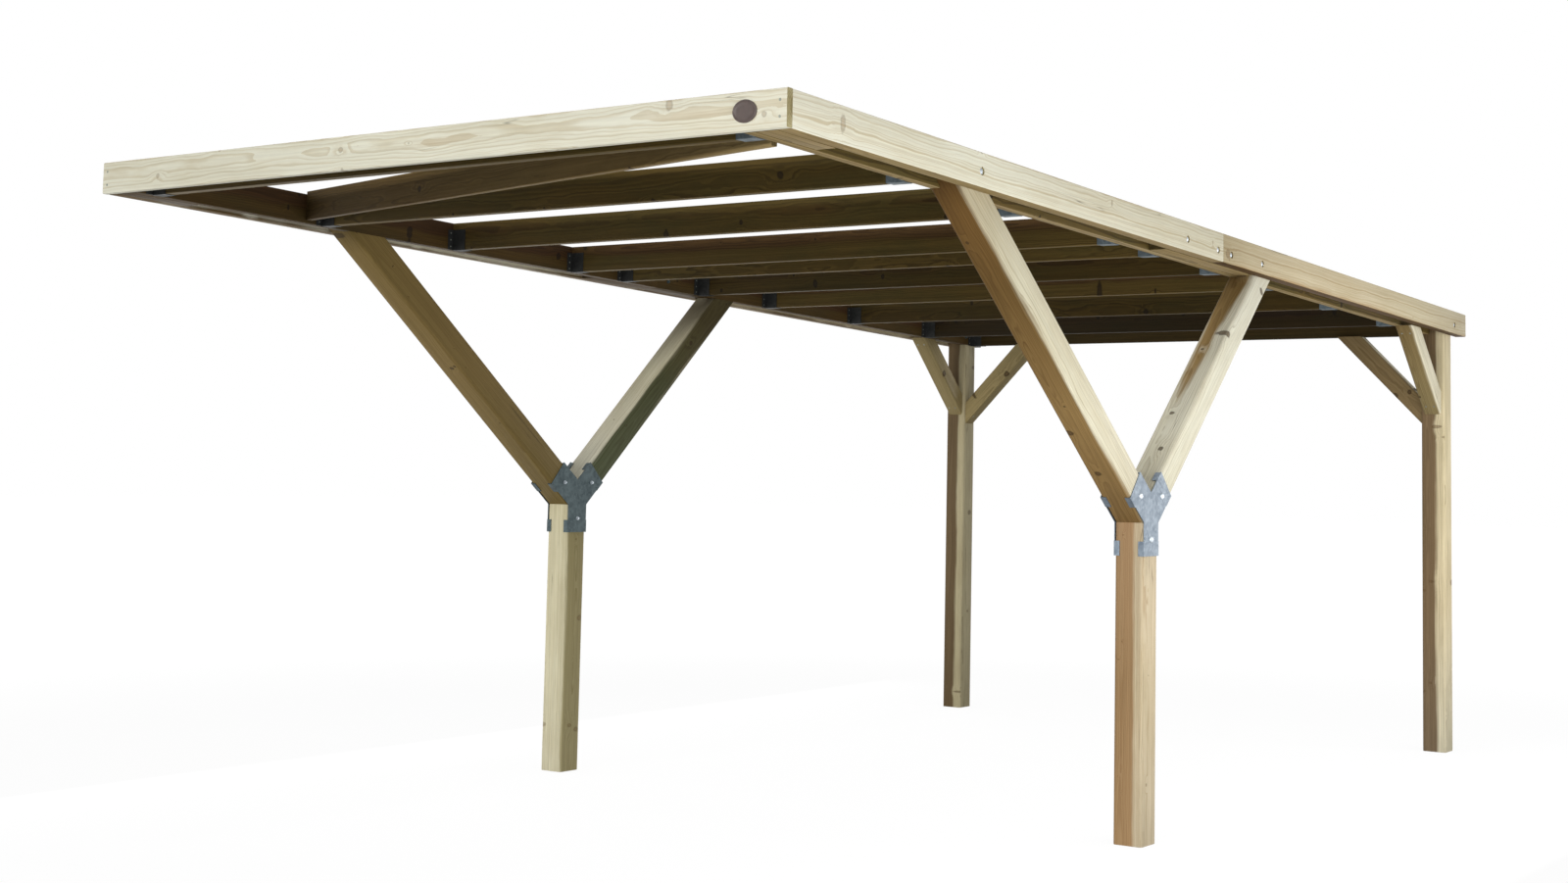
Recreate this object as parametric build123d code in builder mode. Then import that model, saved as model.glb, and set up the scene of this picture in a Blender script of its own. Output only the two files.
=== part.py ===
"""Flat-roofed timber carport, an open frame, in millimetres.

+Z is up and the front looks along -Y. The origin is on the floor under the middle of the roof frame.
Two double beams run from front to back along the sides. At the front each
is carried by a Y post with two slanting arms, at the rear by a straight post with two knee braces.
Joists hang between the beams, and the whole roof frame falls a little to the back.
"""

import math
import os

from build123d import *

os.makedirs("parts", exist_ok=True)

# Overall sizes
roof_width = 3260
post_spacing = 3580  # front post centre to rear post centre
front_overhang = 2540  # front face of the fascia to the front post centre
rear_overhang = 130  # rear post centre to the ends of the beams
front_clearance = 2440  # floor to the underside of the roof frame at the front face
roof_fall = 2.0  # degrees, down to the back

# Timber sections
frame_depth = 120  # height of beam boards, joists, fascia and blocks
outer_board = 58
inner_board = 45
fascia_board = 28
joist_board = 45
rim_board = 58
brace_board = 28
post_side = 125
knee_depth = 95  # in the plane of the knee brace
knee_width = 95  # across that plane

# Y posts. A reach runs from the post centre to where the arm's lower edge meets the roof frame
post_top = 1250  # flat cut where the arms stand
forward_arm_reach = 1464
backward_arm_reach = 1182
arm_top_gap = 8  # arm and post tops stay this far below the top of the frame

# Knee braces of the rear posts, measured along post and beam to the lower edge
forward_knee_leg = 435
inward_knee_leg = 485

# Joist middles
front_joists = [114, 944, 1694]  # behind the front face of the fascia
middle_joists = [-67, 296, 894, 1474]  # behind the middle of the front posts
rear_joists = [1301, 512]  # ahead of the middle of the rear posts

# Packing and splices of the double beams
front_packing_length = 312
splice_place = 548  # behind the middle of the front posts
splice_lap = 420  # of the block, ahead of the splice
splice_arm_gap = 26  # between the block and the backward arm

# Clear of the joist hangers at both ends of the diagonal board
brace_right_gap = 5
brace_left_gap = 25

# Y plates, galvanised sheet
plate_sheet = 3
plate_stem_length = 131
plate_wing_length = 155  # along the lower edge of the arm
plate_wing_rise = 5  # above the upper edge of the arm
plate_tab_length = 58  # of the tabs bent round the post and under the arms
plate_tab_reach = 22

# Joist hangers, galvanised sheet
hanger_sheet = 2
hanger_seat = 76  # length of the seat under the joist
hanger_height = 90
hanger_wing = 30

# Badge on the fascia, an oval plaque
badge_width = 90
badge_height = 71
badge_thickness = 6
badge_inset = 155  # middle of the badge from the right end of the fascia
badge_fall = 1  # middle of the badge below the middle of the fascia

# Lines that follow from the sizes above
roof_length = front_overhang + post_spacing + rear_overhang
front_y = -roof_length / 2
rear_y = roof_length / 2
front_post_y = front_y + front_overhang
rear_post_y = rear_y - rear_overhang
beam_front_y = front_y + fascia_board
splice_y = front_post_y + splice_place
fall_slope = math.tan(math.radians(roof_fall))

outer_face = roof_width / 2
post_outer = outer_face - outer_board
post_inner = post_outer - post_side
gap_inner = post_inner + inner_board
post_middle = (post_outer + post_inner) / 2
half_post = post_side / 2
joist_length = 2 * post_inner
rim_y = rear_post_y + half_post - rim_board / 2
joist_lines = [front_y + place for place in front_joists]
joist_lines += [front_post_y + place for place in middle_joists]
joist_lines += [rear_post_y - place for place in rear_joists]


def underside(y):
    """Height of the underside of the roof frame at a distance y."""
    return front_clearance - (y - front_y) * fall_slope


def save(piece, label):
    """Names a finished piece and writes it."""
    piece.part.label = label
    export_step(piece.part, f"parts/{label}.step")


def side_plane(side, near, far):
    """The upright plane across X where a slab between two distances from the middle starts."""
    return Plane.YZ.offset(near if side > 0 else -far)


def frame_outline(start_y, end_y):
    """Corners of a stretch of the roof frame seen from the side."""
    return [
        (start_y, underside(start_y)),
        (end_y, underside(end_y)),
        (end_y, underside(end_y) + frame_depth),
        (start_y, underside(start_y) + frame_depth),
    ]


def long_board(label, side, near, far, start_y, end_y):
    """A board of the side beams, plumb, cut plumb at both ends and laid to the fall."""
    with BuildPart() as board:
        with BuildSketch(side_plane(side, near, far)):
            with BuildLine():
                Polyline(*frame_outline(start_y, end_y), close=True)
            make_face()
        extrude(amount=far - near)
    save(board, label)


def cross_board(label, middle_y, thickness, length):
    """A level board across the frame: a joist, the rim or the fascia."""
    with BuildPart() as board:
        with Locations((0, middle_y, underside(middle_y) + frame_depth / 2)):
            Box(length, thickness, frame_depth)
    save(board, label)


def arm_slope(toward, reach):
    """Rise over run of a Y arm, from the corner of the post top to where it meets the roof frame."""
    return (underside(front_post_y + toward * reach) - post_top) / (reach - half_post)


def arm_outline(toward, reach):
    """Side view of a Y arm. Its foot stands on half the post top, against the other arm."""
    slope = arm_slope(toward, reach)
    rise_across = post_side * math.hypot(1, slope)
    fall_along = -toward * fall_slope
    top_here = underside(front_post_y) + frame_depth - arm_top_gap
    lower_run = (top_here - post_top + slope * half_post) / (slope - fall_along)
    upper_run = (top_here - post_top + slope * half_post - rise_across) / (slope - fall_along)
    return [
        (front_post_y, post_top),
        (front_post_y + toward * half_post, post_top),
        (front_post_y + toward * lower_run, top_here + fall_along * lower_run),
        (front_post_y + toward * upper_run, top_here + fall_along * upper_run),
        (front_post_y, post_top - slope * half_post + rise_across),
    ]


def arm(label, side, toward, reach):
    """One arm of a Y post, notched at the top on the inner side so that the inner board bears on it."""
    outline = arm_outline(toward, reach)
    notch_end = 2 * outline[2][0] - front_post_y  # well past the end of the arm
    with BuildPart() as timber:
        with BuildSketch(side_plane(side, post_inner, post_outer)):
            with BuildLine():
                Polyline(*outline, close=True)
            make_face()
        extrude(amount=post_side)
        with BuildSketch(side_plane(side, post_inner, gap_inner)):
            with BuildLine():
                Polyline(*frame_outline(front_post_y, notch_end), close=True)
            make_face()
        extrude(amount=inner_board, mode=Mode.SUBTRACT)
    save(timber, label)


def front_post(label, side):
    """A front post, cut off level for its two arms."""
    with BuildPart() as timber:
        with BuildSketch():
            with Locations((side * post_middle, front_post_y)):
                Rectangle(post_side, post_side)
        extrude(amount=post_top)
    save(timber, label)


def rear_post(label, side):
    """A rear post, which runs up between the beam boards and carries the inner one on its notch."""
    rear_face_y = rear_post_y + half_post
    front_face_y = rear_post_y - half_post
    with BuildPart() as timber:
        with BuildSketch(side_plane(side, post_inner, post_outer)):
            with BuildLine():
                Polyline(
                    (front_face_y, 0),
                    (rear_face_y, 0),
                    (rear_face_y, underside(rear_face_y) + frame_depth - arm_top_gap),
                    (front_face_y, underside(front_face_y) + frame_depth - arm_top_gap),
                    close=True,
                )
            make_face()
        extrude(amount=post_side)
        with BuildSketch(side_plane(side, post_inner, gap_inner)):
            with BuildLine():
                Polyline(*frame_outline(front_face_y, rear_face_y), close=True)
            make_face()
        extrude(amount=inner_board, mode=Mode.SUBTRACT)
    save(timber, label)


def forward_knee(label, side):
    """A brace from the front face of a rear post up to the underside of the beam boards."""
    face_y = rear_post_y - half_post
    thickness_up = knee_depth * math.sqrt(2)
    foot = underside(face_y) - forward_knee_leg
    reach = forward_knee_leg / (1 - fall_slope)
    upper_reach = (forward_knee_leg - thickness_up) / (1 - fall_slope)
    near = post_middle - knee_width / 2
    far = post_middle + knee_width / 2
    with BuildPart() as timber:
        with BuildSketch(side_plane(side, near, far)):
            with BuildLine():
                Polyline(
                    (face_y, foot),
                    (face_y - reach, underside(face_y - reach)),
                    (face_y - upper_reach, underside(face_y - upper_reach)),
                    (face_y, foot + thickness_up),
                    close=True,
                )
            make_face()
        extrude(amount=knee_width)
    save(timber, label)


def inward_knee(label, side):
    """A brace from the inner face of a rear post up to the underside of the rim."""
    thickness_up = knee_depth * math.sqrt(2)
    top = underside(rim_y)
    with BuildPart() as timber:
        with BuildSketch(Plane.XZ.offset(-(rear_post_y + knee_width / 2))):
            with BuildLine():
                Polyline(
                    (side * post_inner, top - inward_knee_leg),
                    (side * (post_inner - inward_knee_leg), top),
                    (side * (post_inner - inward_knee_leg + thickness_up), top),
                    (side * post_inner, top - inward_knee_leg + thickness_up),
                    close=True,
                )
            make_face()
        extrude(amount=knee_width)
    save(timber, label)


def y_plates(label, side):
    """The two Y plates of a front post, with tabs bent round the post and under the arms."""
    wings = []
    tops = []
    tabs = []
    tab_fall = plate_stem_length - plate_tab_length / 2
    for toward, reach in ((1, backward_arm_reach), (-1, forward_arm_reach)):
        slope = arm_slope(toward, reach)
        along = Vector(1, slope).normalized()
        across = Vector(-along.Y, along.X)
        foot = Vector(half_post, -plate_stem_length)
        shoulder = Vector(half_post, 0)
        corner = shoulder + along * plate_wing_length
        tip = corner + across * (post_side + plate_wing_rise)
        arm_tab = corner - along * plate_tab_length / 2 - across * plate_sheet / 2
        post_tab = shoulder + Vector(plate_sheet / 2, -tab_fall)
        wings.append([(toward * point.X, point.Y) for point in (foot, shoulder, corner, tip)])
        tops.append((tip.Y - slope * tip.X, slope))
        tilt = toward * math.degrees(math.atan(slope))
        tabs.append((toward * arm_tab.X, arm_tab.Y, tilt))
        tabs.append((toward * post_tab.X, post_tab.Y, 90))
    (back_top, back_slope), (front_top, front_slope) = tops
    crotch = (front_top - back_top) / (front_slope + back_slope)
    outline = [*wings[0], (crotch, back_top + back_slope * crotch), *reversed(wings[1])]
    with BuildPart() as plates:
        for start in (post_outer, post_inner - plate_sheet):
            with BuildSketch(side_plane(side, start, start + plate_sheet)):
                with BuildLine():
                    Polyline(*[(front_post_y + out, post_top + up) for out, up in outline], close=True)
                make_face()
            extrude(amount=plate_sheet)
        tab_width = plate_sheet + plate_tab_reach
        for start in (post_outer - plate_tab_reach, post_inner - plate_sheet):
            with BuildSketch(side_plane(side, start, start + tab_width)):
                for out, up, tilt in tabs:
                    with Locations((front_post_y + out, post_top + up)):
                        Rectangle(plate_tab_length, plate_sheet, rotation=tilt)
            extrude(amount=tab_width)
    save(plates, label)


def hangers(label, side):
    """The hangers at one end of all the joists: a seat, two cheeks and two wings on the beam."""
    boards = [(line, joist_board) for line in joist_lines]
    boards.append((rim_y, rim_board))
    beam_face = side * post_inner
    with BuildPart() as stirrups:
        for middle_y, board in boards:
            foot = underside(middle_y)
            with Locations((beam_face - side * hanger_seat / 2, middle_y, foot - hanger_sheet / 2)):
                Box(hanger_seat, board + 2 * hanger_sheet, hanger_sheet)
            for across in (-1, 1):
                cheek_y = middle_y + across * (board + hanger_sheet) / 2
                with Locations((beam_face - side * hanger_seat / 2, cheek_y, foot + hanger_height / 2)):
                    Box(hanger_seat, hanger_sheet, hanger_height)
                wing_y = middle_y + across * (board / 2 + hanger_wing / 2)
                with Locations((beam_face - side * hanger_sheet / 2, wing_y, foot + hanger_height / 2)):
                    Box(hanger_sheet, hanger_wing, hanger_height)
    save(stirrups, label)


# The packing starts at the fascia. The splice block runs from ahead of the splice to the backward arm
packing_end = beam_front_y + front_packing_length
block_start = splice_y - splice_lap
arm_rise = arm_slope(1, backward_arm_reach)
arm_width_level = post_side * math.hypot(1, arm_rise) / (arm_rise + fall_slope)
block_end = front_post_y + backward_arm_reach - arm_width_level - splice_arm_gap

# Side beams, their packing and their posts, right then left
for side, name in ((1, "right"), (-1, "left")):
    long_board(f"{name}_outer_beam_front", side, post_outer, outer_face, beam_front_y, splice_y)
    long_board(f"{name}_outer_beam_rear", side, post_outer, outer_face, splice_y, rear_y)
    long_board(f"{name}_inner_beam_front", side, post_inner, gap_inner, beam_front_y, splice_y)
    long_board(f"{name}_inner_beam_rear", side, post_inner, gap_inner, splice_y, rear_y)
    long_board(f"{name}_front_packing", side, gap_inner, post_outer, beam_front_y, packing_end)
    long_board(f"{name}_splice_block", side, gap_inner, post_outer, block_start, block_end)
    front_post(f"front_{name}_post", side)
    rear_post(f"rear_{name}_post", side)
    arm(f"{name}_forward_arm", side, -1, forward_arm_reach)
    arm(f"{name}_backward_arm", side, 1, backward_arm_reach)
    y_plates(f"{name}_y_plates", side)
    forward_knee(f"{name}_forward_knee", side)
    inward_knee(f"{name}_inward_knee", side)
    hangers(f"{name}_joist_hangers", side)

# Boards across the frame
cross_board("front_fascia", front_y + fascia_board / 2, fascia_board, roof_width)
cross_board("front_joist", joist_lines[0], joist_board, joist_length)
for number, line in enumerate(joist_lines[1:], start=1):
    cross_board(f"joist_{number}", line, joist_board, joist_length)
cross_board("rear_rim", rim_y, rim_board, joist_length)

# Diagonal board that squares the first bay, on edge, with both ends cut along the beams
hanger_half = joist_board / 2 + hanger_wing
brace_start = joist_lines[0] + hanger_half + brace_right_gap
brace_end = joist_lines[1] - hanger_half - brace_left_gap
brace_slope = (brace_end - brace_start) / joist_length
brace_end_width = brace_board * math.hypot(1, brace_slope)
brace_foot = underside((brace_start + brace_end) / 2)
with BuildPart() as diagonal:
    with BuildSketch(Plane.XY.offset(brace_foot)):
        with BuildLine():
            Polyline(
                (post_inner, brace_start),
                (post_inner, brace_start + brace_end_width),
                (-post_inner, brace_end),
                (-post_inner, brace_end - brace_end_width),
                close=True,
            )
        make_face()
    extrude(amount=frame_depth)
save(diagonal, "diagonal_brace")

# Plain oval badge on the fascia
fascia_middle_z = underside(front_y + fascia_board / 2) + frame_depth / 2
with BuildPart() as badge:
    with BuildSketch(Plane.XZ.offset(-front_y)):
        with Locations((outer_face - badge_inset, fascia_middle_z - badge_fall)):
            Ellipse(badge_width / 2, badge_height / 2)
    extrude(amount=badge_thickness)
save(badge, "fascia_badge")
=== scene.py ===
import math

import bpy
from mathutils import Matrix, Vector


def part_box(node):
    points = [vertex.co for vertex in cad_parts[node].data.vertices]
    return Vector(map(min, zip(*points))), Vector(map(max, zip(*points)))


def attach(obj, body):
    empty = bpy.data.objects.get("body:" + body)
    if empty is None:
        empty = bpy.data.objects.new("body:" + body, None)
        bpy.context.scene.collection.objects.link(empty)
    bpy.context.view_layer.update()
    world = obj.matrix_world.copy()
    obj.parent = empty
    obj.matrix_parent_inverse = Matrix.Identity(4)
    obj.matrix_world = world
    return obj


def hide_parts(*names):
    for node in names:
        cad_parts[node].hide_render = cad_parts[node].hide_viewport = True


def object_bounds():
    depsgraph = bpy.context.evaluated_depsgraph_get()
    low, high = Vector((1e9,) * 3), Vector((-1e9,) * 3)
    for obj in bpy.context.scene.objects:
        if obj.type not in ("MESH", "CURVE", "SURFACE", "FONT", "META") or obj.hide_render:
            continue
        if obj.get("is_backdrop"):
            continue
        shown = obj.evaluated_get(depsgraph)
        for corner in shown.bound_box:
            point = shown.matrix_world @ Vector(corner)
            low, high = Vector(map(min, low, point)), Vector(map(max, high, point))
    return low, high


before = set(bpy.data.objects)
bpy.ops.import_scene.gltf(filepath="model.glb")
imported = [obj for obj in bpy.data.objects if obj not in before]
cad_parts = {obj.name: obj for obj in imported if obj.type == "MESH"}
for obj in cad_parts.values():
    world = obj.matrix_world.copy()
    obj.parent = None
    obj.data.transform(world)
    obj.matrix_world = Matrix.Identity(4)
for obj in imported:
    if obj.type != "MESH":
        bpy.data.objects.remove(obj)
cad_low, cad_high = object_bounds()

# Front posts: two square timbers, cut off level at the top for the arms of the Y.
# Pressure-treated pine, planed on four sides with the corners rounded over by the
# moulder. Heartwood stays brown and sapwood takes a pale green cast.
post_ease = 0.013
arris_ease = 0.0012
same_point = 0.00001
tree_stretch = 6.83
far_from_knot = (99, 99, 99)
timber_count = 0


def linear(colour):
    """An sRGB hex value as a linear colour."""
    parts = [int(colour[i : i + 2], 16) / 255 for i in (1, 3, 5)]
    return [*(p / 12.92 if p < 0.0405 else ((p + 0.055) / 1.055) ** 2.4 for p in parts), 1]


def add(tree, kind, inputs=None, **settings):
    """Adds a node with its settings, and links or sets its inputs."""
    node = tree.nodes.new("ShaderNode" + kind)
    for setting, value in settings.items():
        setattr(node, setting, value)
    for socket, value in (inputs or {}).items():
        if isinstance(value, bpy.types.NodeSocket):
            tree.links.new(value, node.inputs[socket])
        else:
            node.inputs[socket].default_value = value
    return node


def new_material(name):
    """An empty node material and its tree."""
    material = bpy.data.materials.new(name)
    material.use_nodes = True
    material.node_tree.nodes.clear()
    return material, material.node_tree


def treated_pine(name, sap, heart, stain, knot_shade, ring, late_depth, streaks, stains, knots):
    """Planed treated pine as a solid, read from each board's own grain.

    Growth rings are about ring metres apart, the fibre streaks 9 mm and 2 mm wide, and knots
    sit in whorls half a metre apart. Rings cut across give arches on the faces and arcs on
    the ends. The heartwood's radius and its darkening along the board come with the board;
    that darkening, like the board's tint, is partly the wood's own tone and partly painted shade.
    late_depth, streaks, stains and knots say how strongly each of these shows.
    """
    material, tree = new_material(name)
    grain = add(tree, "Attribute", attribute_name="grain").outputs["Vector"]
    knot_place = add(tree, "Attribute", attribute_name="knot").outputs["Vector"]
    tint = add(tree, "Attribute", attribute_name="tint").outputs["Color"]
    heartwood = add(tree, "Attribute", attribute_name="heartwood")

    # The trunk wanders by a centimetre or two along its length
    slow = add(tree, "VectorMath", {0: grain, 1: (1.7, 6, 6)}, operation="MULTIPLY").outputs[0]
    sway = add(tree, "TexNoise", {"Vector": slow, "Scale": 1, "Detail": 4}).outputs["Color"]
    sway = add(tree, "VectorMath", {0: sway, 1: (0.5, 0.5, 0.5)}, operation="SUBTRACT").outputs[0]
    swayed = add(
        tree, "VectorMath", {0: sway, 1: (0, 0.045, 0.045), 2: grain}, operation="MULTIPLY_ADD"
    ).outputs[0]
    parts = add(tree, "SeparateXYZ", {0: swayed})
    across = add(tree, "CombineXYZ", {1: parts.outputs[1], 2: parts.outputs[2]}).outputs[0]
    radius = add(tree, "VectorMath", {0: across}, operation="LENGTH").outputs["Value"]

    # Knots run outwards from the heart, thin at first, one cell of trunk surface to each
    turn = add(
        tree, "Math", {0: parts.outputs[2], 1: parts.outputs[1]}, operation="ARCTAN2"
    ).outputs[0]
    shell = add(tree, "CombineXYZ", {0: parts.outputs[0], 1: turn, 2: 0}).outputs[0]
    cells = add(tree, "VectorMath", {0: shell, 1: (2.1, 0.8, 1)}, operation="MULTIPLY").outputs[0]
    whorl = add(
        tree,
        "TexVoronoi",
        {"Vector": cells, "Scale": 1, "Randomness": 0.9},
        voronoi_dimensions="2D",
    )
    gap = add(
        tree, "VectorMath", {0: cells, 1: whorl.outputs["Position"]}, operation="SUBTRACT"
    ).outputs[0]
    gap = add(
        tree, "VectorMath", {0: gap, 1: (1 / 2.1, 1 / 0.8, 0)}, operation="MULTIPLY"
    ).outputs[0]
    gap_parts = add(tree, "SeparateXYZ", {0: gap})
    arc = add(tree, "Math", {0: gap_parts.outputs[1], 1: radius}, operation="MULTIPLY").outputs[0]
    flat_gap = add(tree, "CombineXYZ", {0: gap_parts.outputs[0], 1: arc}).outputs[0]
    cell_value = add(tree, "SeparateColor", {0: whorl.outputs["Color"]}).outputs[0]
    knot_radius = add(
        tree, "MapRange", {"Value": cell_value, 1: 0.3, 2: 1.0, 3: 0.0001, 4: 0.015}
    ).outputs[0]
    taper = add(tree, "MapRange", {"Value": radius, 1: 0, 2: 0.04, 3: 0.02, 4: 1}).outputs[0]
    knot_radius = add(tree, "Math", {0: knot_radius, 1: taper}, operation="MULTIPLY").outputs[0]
    grown = add(tree, "Math", {0: 1, 1: knot_radius}, operation="DIVIDE").outputs[0]
    wild_knot = add(tree, "VectorMath", {0: flat_gap, "Scale": grown}, operation="SCALE").outputs[0]
    wild_reach = add(tree, "VectorMath", {0: wild_knot}, operation="LENGTH").outputs["Value"]
    main_reach = add(tree, "VectorMath", {0: knot_place}, operation="LENGTH").outputs["Value"]
    main_nearer = add(
        tree, "Math", {0: main_reach, 1: wild_reach}, operation="LESS_THAN"
    ).outputs[0]
    knot_way = add(
        tree, "Mix", {0: main_nearer, 4: wild_knot, 5: knot_place}, data_type="VECTOR"
    ).outputs[1]
    knot_length = add(tree, "VectorMath", {0: knot_way}, operation="LENGTH").outputs["Value"]
    knot_edge = add(tree, "TexNoise", {"Vector": grain, "Scale": 60, "Detail": 3}).outputs[0]
    knot_reach = add(
        tree, "Math", {0: knot_edge, 1: 0.9, 2: knot_length}, operation="MULTIPLY_ADD"
    ).outputs[0]
    knot = add(
        tree,
        "MapRange",
        {"Value": knot_reach, 1: 1.75, 2: 1.25, 3: 0, 4: 1},
        interpolation_type="SMOOTHSTEP",
    ).outputs[0]
    knot_core = add(
        tree,
        "MapRange",
        {"Value": knot_reach, 1: 1.3, 2: 0.8, 3: 0, 4: 1},
        interpolation_type="SMOOTHSTEP",
    ).outputs[0]

    # The grain flows round a knot, in a shape like an eye along the board
    eye = add(tree, "VectorMath", {0: knot_way, 1: (0.4, 1, 1)}, operation="MULTIPLY").outputs[0]
    eye_reach = add(tree, "VectorMath", {0: eye}, operation="LENGTH").outputs["Value"]
    eye_reach = add(
        tree, "Math", {0: knot_edge, 1: 1.1, 2: eye_reach}, operation="MULTIPLY_ADD"
    ).outputs[0]
    swirl = add(
        tree,
        "MapRange",
        {"Value": eye_reach, 1: 3.6, 2: 1.2, 3: 0, 4: 1},
        interpolation_type="SMOOTHSTEP",
    ).outputs[0]

    # Growth rings of uneven width and strength. Latewood darkens slowly, then stops short
    drift_cells = add(
        tree, "VectorMath", {0: grain, 1: (3.1, 19, 19)}, operation="MULTIPLY"
    ).outputs[0]
    drift = add(tree, "TexNoise", {"Vector": drift_cells, "Scale": 1, "Detail": 2}).outputs[0]
    pushed = add(tree, "Math", {0: swirl, 1: 0.009, 2: radius}, operation="MULTIPLY_ADD").outputs[0]
    drifted = add(
        tree, "Math", {0: drift, 1: 0.012, 2: pushed}, operation="MULTIPLY_ADD"
    ).outputs[0]
    years = add(
        tree, "TexNoise", {"W": drifted, "Scale": 45, "Detail": 2}, noise_dimensions="1D"
    ).outputs[0]
    ring_place = add(tree, "Math", {0: drifted, 1: 1 / ring}, operation="MULTIPLY").outputs[0]
    ring_place = add(
        tree, "Math", {0: years, 1: 4, 2: ring_place}, operation="MULTIPLY_ADD"
    ).outputs[0]
    ring_count = add(tree, "Math", {0: ring_place}, operation="FLOOR").outputs[0]
    ring_share = add(tree, "Math", {0: ring_place}, operation="FRACT").outputs[0]
    ring_depth = add(
        tree, "TexWhiteNoise", {"W": ring_count}, noise_dimensions="1D"
    ).outputs["Value"]
    late = add(
        tree,
        "MapRange",
        {"Value": ring_share, 1: 0.25, 2: 0.9, 3: 0, 4: 1},
        interpolation_type="SMOOTHSTEP",
    ).outputs[0]
    depth = add(
        tree, "MapRange", {"Value": ring_depth, 3: 0.25 * late_depth, 4: 1.3 * late_depth}
    ).outputs[0]
    late_share = add(tree, "Math", {0: late, 1: depth}, operation="MULTIPLY").outputs[0]

    # Fibre streaks, a coarse and a fine set, stretched along the board
    long_cells = add(
        tree, "VectorMath", {0: grain, 1: (1.5, 110, 110)}, operation="MULTIPLY"
    ).outputs[0]
    streak = add(
        tree, "TexNoise", {"Vector": long_cells, "Scale": 1, "Detail": 3, "Roughness": 0.6}
    ).outputs[0]
    thin_cells = add(
        tree, "VectorMath", {0: grain, 1: (14, 480, 480)}, operation="MULTIPLY"
    ).outputs[0]
    fibre = add(tree, "TexNoise", {"Vector": thin_cells, "Scale": 1, "Detail": 2}).outputs[0]

    # Fine drying checks that follow the grain here and there
    check_cells = add(
        tree, "VectorMath", {0: grain, 1: (1.1, 38, 38)}, operation="MULTIPLY"
    ).outputs[0]
    check_noise = add(tree, "TexNoise", {"Vector": check_cells, "Scale": 1, "Detail": 1}).outputs[0]
    check_side = add(tree, "Math", {0: check_noise, 1: 0.5}, operation="SUBTRACT").outputs[0]
    check_side = add(tree, "Math", {0: check_side}, operation="ABSOLUTE").outputs[0]
    check_line = add(
        tree, "MapRange", {"Value": check_side, 1: 0.0, 2: 0.009, 3: 1, 4: 0}
    ).outputs[0]
    rare_cells = add(
        tree, "VectorMath", {0: grain, 1: (2.2, 9, 9)}, operation="MULTIPLY"
    ).outputs[0]
    rare = add(tree, "TexNoise", {"Vector": rare_cells, "Scale": 1, "Detail": 1}).outputs[0]
    rare = add(tree, "MapRange", {"Value": rare, 1: 0.6, 2: 0.7, 3: 0, 4: 1}).outputs[0]
    check = add(tree, "Math", {0: check_line, 1: rare}, operation="MULTIPLY").outputs[0]

    # Brown heart inside pale sapwood, then stain, rings, streaks, checks and knots
    heart_edge = add(
        tree, "Math", {0: streak, 1: 0.02, 2: pushed}, operation="MULTIPLY_ADD"
    ).outputs[0]
    past_heart = add(
        tree, "Math", {0: heart_edge, 1: heartwood.outputs["Alpha"]}, operation="SUBTRACT"
    ).outputs[0]
    sap_share = add(
        tree,
        "MapRange",
        {"Value": past_heart, 1: -0.004, 2: 0.016, 3: 0, 4: 1},
        interpolation_type="SMOOTHSTEP",
    ).outputs[0]
    # The heart is darkened by the board's heart tint: partly its own tone, partly painted shade
    heart_colour = add(
        tree,
        "Mix",
        {0: 1.0, 6: linear(heart), 7: heartwood.outputs["Color"]},
        data_type="RGBA",
        blend_type="MULTIPLY",
    ).outputs[2]
    colour = add(
        tree, "Mix", {0: sap_share, 6: heart_colour, 7: linear(sap)}, data_type="RGBA"
    ).outputs[2]
    blotch_cells = add(
        tree, "VectorMath", {0: grain, 1: (2.4, 9, 9)}, operation="MULTIPLY"
    ).outputs[0]
    blotch = add(
        tree, "TexNoise", {"Vector": blotch_cells, "Scale": 1, "Detail": 4, "Roughness": 0.6}
    ).outputs[0]
    blotch = add(
        tree, "MapRange", {"Value": blotch, 1: 0.4, 2: 0.7, 3: 0, 4: stains}
    ).outputs[0]
    blotch_share = add(tree, "Math", {0: blotch, 1: sap_share}, operation="MULTIPLY").outputs[0]
    colour = add(
        tree, "Mix", {0: blotch_share, 6: colour, 7: linear(stain)}, data_type="RGBA"
    ).outputs[2]
    colour = add(
        tree,
        "Mix",
        {0: late_share, 6: colour, 7: linear(heart)},
        data_type="RGBA",
        blend_type="MULTIPLY",
    ).outputs[2]
    streak_value = add(
        tree,
        "MapRange",
        {"Value": streak, 1: 0.3, 2: 0.7, 3: 1 - streaks, 4: 1 + streaks * 0.6},
    ).outputs[0]
    fibre_value = add(
        tree, "MapRange", {"Value": fibre, 1: 0.3, 2: 0.7, 3: 1 - streaks / 2, 4: 1.03}
    ).outputs[0]
    value = add(tree, "Math", {0: streak_value, 1: fibre_value}, operation="MULTIPLY").outputs[0]
    shade = add(tree, "CombineColor", {0: value, 1: value, 2: value}).outputs[0]
    colour = add(
        tree, "Mix", {0: 1.0, 6: colour, 7: shade}, data_type="RGBA", blend_type="MULTIPLY"
    ).outputs[2]
    rim = [part * 0.55 for part in linear(knot_shade)[:3]]
    knot_colour = add(
        tree, "Mix", {0: knot_core, 6: (*rim, 1), 7: linear(knot_shade)}, data_type="RGBA"
    ).outputs[2]
    knot_share = add(tree, "Math", {0: knot, 1: knots}, operation="MULTIPLY").outputs[0]
    colour = add(
        tree, "Mix", {0: knot_share, 6: colour, 7: knot_colour}, data_type="RGBA"
    ).outputs[2]
    check_share = add(tree, "Math", {0: check, 1: 0.6}, operation="MULTIPLY").outputs[0]
    colour = add(
        tree, "Mix", {0: check_share, 6: colour, 7: linear("#3a2c1c")}, data_type="RGBA"
    ).outputs[2]
    # The tint darkens the board along its length: partly its own tone, partly painted shade
    colour = add(
        tree, "Mix", {0: 1.0, 6: colour, 7: tint}, data_type="RGBA", blend_type="MULTIPLY"
    ).outputs[2]

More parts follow.
